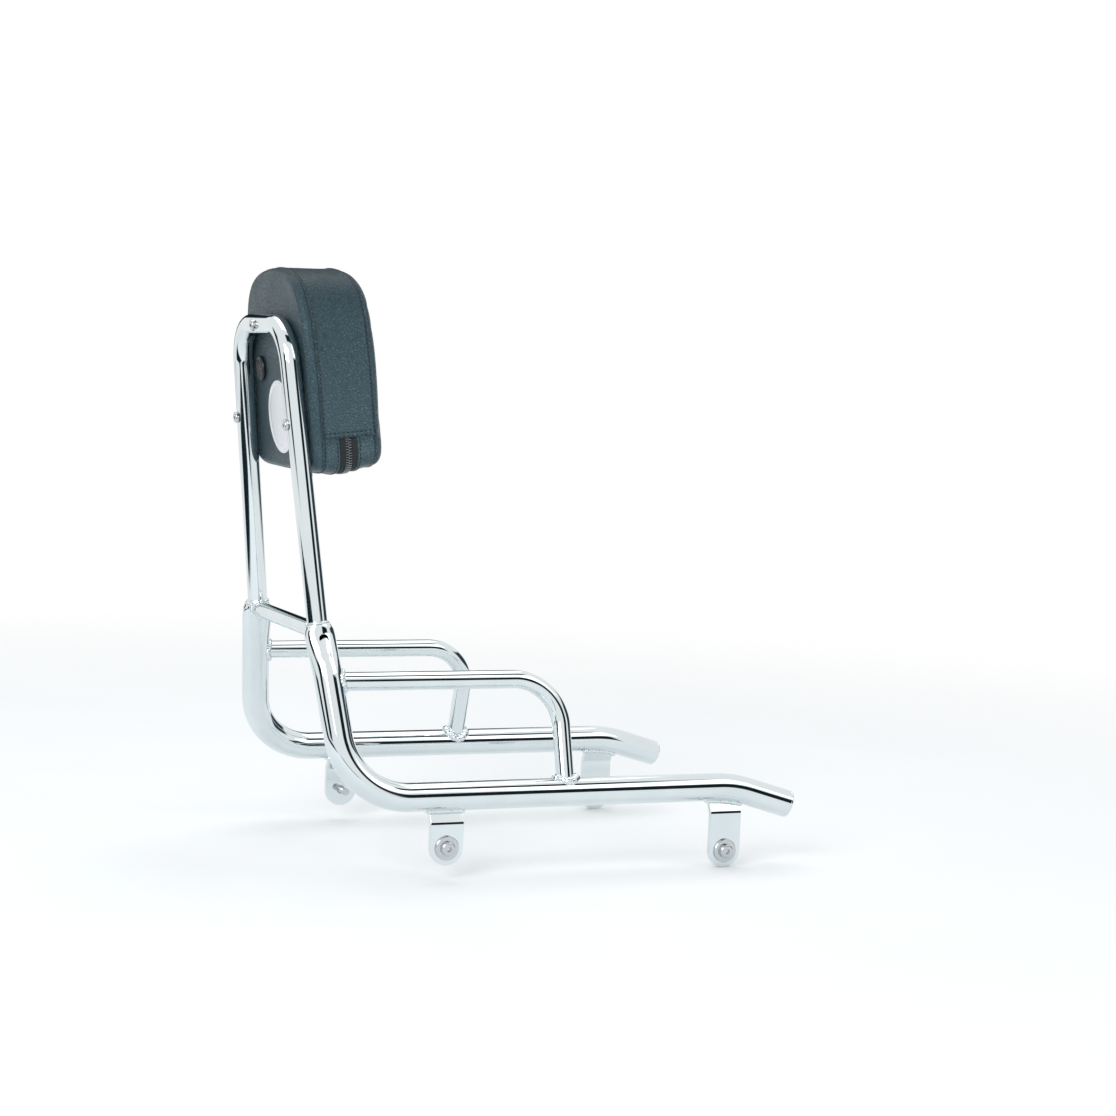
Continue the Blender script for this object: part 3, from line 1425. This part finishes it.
def stage_plane(name, centre, across, upward, width, height, finish):
    """Flat sheet that belongs to the studio."""
    a = across.normalized() * (width / 2)
    b = upward.normalized() * (height / 2)
    made = add_mesh(name, [centre - a - b, centre + a - b, centre + a + b, centre - a + b], [(0, 1, 2, 3)])
    corners = made.data.uv_layers.new(name="sheet").data
    for loop, spot in zip(made.data.loops, SHEET_CORNERS):
        corners[loop.index].uv = spot
    made.data.materials.append(finish)
    return made


def paint_sheet(tree, colour, cover):
    """Matt paint where the cover is 1, and nothing where it is 0."""
    tree.nodes.remove(tree.nodes["Principled BSDF"])
    clear = add(tree, "ShaderNodeBsdfTransparent")
    matt = add(tree, "ShaderNodeBsdfDiffuse", {"Color": colour})
    mixed = add(tree, "ShaderNodeMixShader", {0: cover, 1: clear, 2: matt})
    set_inputs(tree.nodes["Material Output"], {"Surface": mixed})


floor_paint, tree, _, where = new_material("pale_floor")
mottle = add(tree, "ShaderNodeTexNoise", {"Vector": where, "Scale": 3.0, "Detail": 2.0})
pale = add(
    tree, "ShaderNodeMix",
    {MIX_FACTOR: mottle, MIX_A: linear("f5f6f7"), MIX_B: linear("fbfbfb")}, data_type="RGBA",
)
away = add(tree, "ShaderNodeVectorMath", {0: where}, operation="LENGTH").outputs["Value"]
near = add(
    tree, "ShaderNodeMapRange", {"Value": away, **FLOOR_FADE, **FADE_OUT}, interpolation_type="SMOOTHSTEP"
)
paint_sheet(tree, pale.outputs[MIX_OUT], near)
floor_z = cad_box[0][2] - FLOOR_GAP
stage_plane("floor", Vector((0, 0, floor_z)), AHEAD, LEFT, FLOOR_SIZE, FLOOR_SIZE, floor_paint)
print("floor at", round(floor_z / MM, 1), "mm")

# %% [markdown]
# Chrome has no colour of its own: it needs something dark to mirror, or it would look like
# milk. Photographers hang dark cards out of the picture for that, and so does this scene. The
# cards show only in mirror images and take no light away. Soft edges keep their images soft.

# %% Dark cards
CARD_LIFT = 5 * MM
CARD_FADE = {"From Min": 0.36, "From Max": 0.5}


def card_material(name, tone):
    """Matt card that fades to nothing towards its edges, so its mirror image has soft edges."""
    material, tree, _, _ = new_material(name)
    spot = add(tree, "ShaderNodeSeparateXYZ", {0: add(tree, "ShaderNodeTexCoord").outputs["UV"]})
    fades = []
    for axis in ("X", "Y"):
        centred = add(tree, "ShaderNodeMath", {0: spot.outputs[axis], 1: 0.5}, operation="SUBTRACT")
        far = add(tree, "ShaderNodeMath", {0: centred}, operation="ABSOLUTE")
        fades.append(
            add(
                tree, "ShaderNodeMapRange",
                {"Value": far, **CARD_FADE, **FADE_OUT}, interpolation_type="SMOOTHSTEP",
            )
        )
    cover = add(tree, "ShaderNodeMath", dict(enumerate(fades)), operation="MULTIPLY")
    paint_sheet(tree, linear(tone), cover)
    return material


DARK_CARD = card_material("dark_card", "18252b")
GREY_CARD = card_material("grey_card", "37464d")
card_z = floor_z + CARD_LIFT
# name, centre, directions across and upwards, width and height in metres, paint
CARDS = (
    ("card_near", (1.65, -2.7, 1.0), (0.98, 0.18, 0), UP, 2.0, 1.6, DARK_CARD),
    ("card_right", (3.0, 0.3, 0.75), LEFT, UP, 3.6, 1.6, GREY_CARD),
    ("card_far", (0.5, 2.85, 1.3), (0.98, -0.17, 0), UP, 2.3, 2.7, DARK_CARD),
    ("card_left", (-2.3, 1.75, 0.7), (0.6, 0.8, 0), UP, 1.2, 1.6, DARK_CARD),
    ("card_rear", (-2.8, -0.75, 0.6), (-0.26, 0.97, 0), UP, 1.0, 1.3, DARK_CARD),
    ("card_above", (0.4, -0.9, 2.3), AHEAD, LEFT, 2.4, 0.8, DARK_CARD),
    ("card_floor_left", (-1.35, -0.1, card_z), AHEAD, LEFT, 1.0, 1.7, DARK_CARD),
    ("card_floor_front", (-0.75, -1.5, card_z), AHEAD, LEFT, 1.1, 0.8, DARK_CARD),
)
for name, centre, across, upward, width, height, finish in CARDS:
    card = stage_plane(name, Vector(centre), Vector(across), upward, width, height, finish)
    card.visible_camera = False
    card.visible_diffuse = False
    card.visible_shadow = False
print("cards:", len(CARDS))

# %% [markdown]
# Three large soft lamps light the bar from behind, from the front and from above. Light that
# suits chrome is too flat for leather, so the pad has a small low lamp of its own, as if the
# front and top lamps were screened off, which gives its side a sheen that fades upwards.

# %% Lamps
LOOK_AT = Vector((0.08, 0.0, 0.22))


def light_list(name, state):
    """Collection that lets a lamp light the pad alone, or everything but the pad."""
    made = bpy.data.collections.new(name)
    made.objects.link(pad)
    made.collection_objects[0].light_linking.link_state = state
    return made


PAD_ONLY = light_list("pad_only", "INCLUDE")
BUT_PAD = light_list("all_but_pad", "EXCLUDE")
# name, place, size in metres, watts, what it lights
LIGHTS = (
    ("key", (-2.1, -1.9, 1.6), 1.6, 42.0, None),
    ("fill", (1.6, -1.7, 2.2), 1.4, 7.0, BUT_PAD),
    ("top", (0.3, 0.8, 2.7), 2.2, 22.0, BUT_PAD),
    ("sheen", (0.22, -0.6, 0.2), 0.35, 1.5, PAD_ONLY),
)
for name, place, width, power, lit in LIGHTS:
    lamp = bpy.data.lights.new(name, "AREA")
    lamp.size = width
    lamp.energy = power
    made = add_object(name, lamp)
    made.location = place
    made.rotation_euler = (LOOK_AT - Vector(place)).to_track_quat("-Z", "Y").to_euler()
    made.light_linking.receiver_collection = lit
    made.visible_camera = False
print("lamps:", len(LIGHTS))

# %% [markdown]
# The surroundings are white wherever they are looked at or mirrored. What they shed on matt
# surfaces is dimmer, or it would wash out the shadows on the floor.

# %% Surroundings
AMBIENT = 0.76
world = bpy.data.worlds.new("studio")
world.use_nodes = True
bpy.context.scene.world = world
tree = world.node_tree
rays = add(tree, "ShaderNodeLightPath").outputs
seen = rays["Is Camera Ray"]
for kind in ("Is Glossy Ray", "Is Transmission Ray"):
    seen = add(tree, "ShaderNodeMath", {0: seen, 1: rays[kind]}, operation="MAXIMUM")
ambient = add(tree, "ShaderNodeBackground", {"Color": linear("e9eef0"), "Strength": AMBIENT})
white = tree.nodes["Background"]
set_inputs(white, {"Color": linear("ffffff"), "Strength": 1.0})
either = add(tree, "ShaderNodeMixShader", {0: seen, 1: ambient, 2: white})
set_inputs(tree.nodes["World Output"], {"Surface": either})
print("surroundings:", len(tree.nodes), "nodes")

# %% [markdown]
# ## Camera
# The camera stands behind and to the right of the bar, a little above it, with a long lens.
# Its place was worked out from the photograph's own lines, so both pictures can be laid over
# each other.

# %% Camera
CAMERA_PLACE = (-0.88466, -2.35680, 0.48903)
CAMERA_TURN = (85.054, -2.599, -23.969)
CAMERA_LENS = 80.645
CAMERA_SENSOR = 36.0
camera = add_object("camera", bpy.data.cameras.new("camera"))
camera.location = CAMERA_PLACE
camera.rotation_euler = [math.radians(angle) for angle in CAMERA_TURN]
camera.data.sensor_width = CAMERA_SENSOR
camera.data.lens = CAMERA_LENS
bpy.context.scene.camera = camera
bpy.context.scene.view_settings.view_transform = "Standard"
print("camera:", round((camera.location - LOOK_AT).length, 2), "m from the bar")
